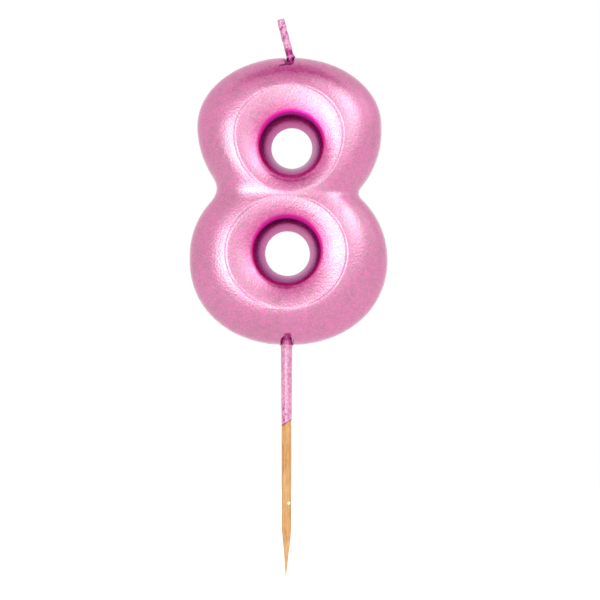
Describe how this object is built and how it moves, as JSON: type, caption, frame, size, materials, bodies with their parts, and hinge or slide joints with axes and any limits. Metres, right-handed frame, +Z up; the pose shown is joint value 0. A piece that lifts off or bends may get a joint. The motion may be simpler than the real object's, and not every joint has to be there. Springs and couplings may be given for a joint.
{
  "type": "number birthday candle",
  "caption": "Figure-eight number candle: puffed wax digit under a pearl pink dip, short braided wick, and a round wooden pick that is pushed into a cake.",
  "frame": {"origin": "on the pick's axis, at the top of its bare straight stretch, just under the dip's lowest edge: the level of the cake's surface", "axes": "+Z up along the pick, -Y out of the digit's front face, +X to the right of the digit as read from the front"},
  "size_m": [0.0454, 0.013, 0.1283],
  "materials": {
    "wax": "smooth translucent paraffin",
    "pearl_dip": "satin pearl metallic",
    "pearl_dip_thin": "satin pearl metallic, thin and uneven",
    "braid": "waxed cotton braid",
    "wood": "raw birch, fine lengthwise grain"
  },
  "bodies": {
    "candle": {"wax_core": "wax", "digit_coat": "pearl_dip", "wick_root": "braid", "pick": "wood", "pick_coat": "pearl_dip_thin"},
    "wick": {"wick_tip": "braid", "wick_coat": "pearl_dip_thin"}
  },
  "joints": [
    {"name": "wick_bend", "type": "hinge", "parent": "candle", "child": "wick", "pos_m": [0.0009, 0, 0.0849], "axis": [0, 1, 0], "range_deg": [-20, 45]}
  ]
}
